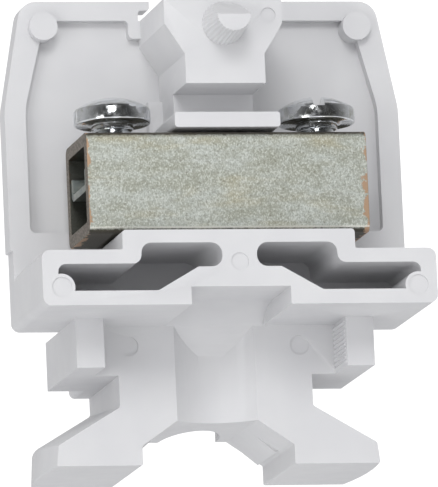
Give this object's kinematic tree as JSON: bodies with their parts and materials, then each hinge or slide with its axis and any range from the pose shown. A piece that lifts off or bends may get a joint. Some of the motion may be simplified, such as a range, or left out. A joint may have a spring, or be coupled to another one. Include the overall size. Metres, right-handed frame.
{
  "type": "din rail terminal block",
  "caption": "Rail-mounted screw terminal block: open plastic housing, square clamp tube, slotted clamp screws and pressure saddles",
  "frame": {"origin": "middle of the two foot soles, in the plane of the soles, below the front face of the base", "axes": "+X along the block towards the right wire entry, -Y out of the open side of the housing, +Z from the rail foot up to the marker post"},
  "size_m": [0.0578, 0.0429, 0.0674],
  "materials": {
    "housing": "light grey moulded plastic, satin",
    "tube": "zinc-plated steel with a mottled yellow-green passivation",
    "screw": "bright zinc plating",
    "saddle": "zinc-plated steel"
  },
  "bodies": {
    "block": {"housing": "housing", "clamp_tube": "tube"},
    "saddle_left": {"pressure_saddle_left": "saddle"},
    "saddle_right": {"pressure_saddle_right": "saddle"},
    "screw_left": {"clamp_screw_left": "screw"},
    "screw_right": {"clamp_screw_right": "screw"}
  },
  "joints": [
    {"name": "saddle_left_travel", "type": "slide", "parent": "block", "child": "saddle_left", "axis": [0, 0, 1], "range_m": [-0.0021, 0.0029]},
    {"name": "screw_left_turn", "type": "hinge", "parent": "saddle_left", "child": "screw_left", "pos_m": [-0.0152, 0.01095, 0.0477], "axis": [0, 0, 1], "range_deg": [-756, 1044]},
    {"name": "saddle_right_travel", "type": "slide", "parent": "block", "child": "saddle_right", "axis": [0, 0, 1], "range_m": [-0.0021, 0.0029]},
    {"name": "screw_right_turn", "type": "hinge", "parent": "saddle_right", "child": "screw_right", "pos_m": [0.0146, 0.01095, 0.0477], "axis": [0, 0, 1], "range_deg": [-756, 1044]}
  ],
  "couplings": [
    {"joint": "screw_left_turn", "follows": "saddle_left_travel", "rad_per_m": 6283.2},
    {"joint": "screw_right_turn", "follows": "saddle_right_travel", "rad_per_m": 6283.2}
  ]
}
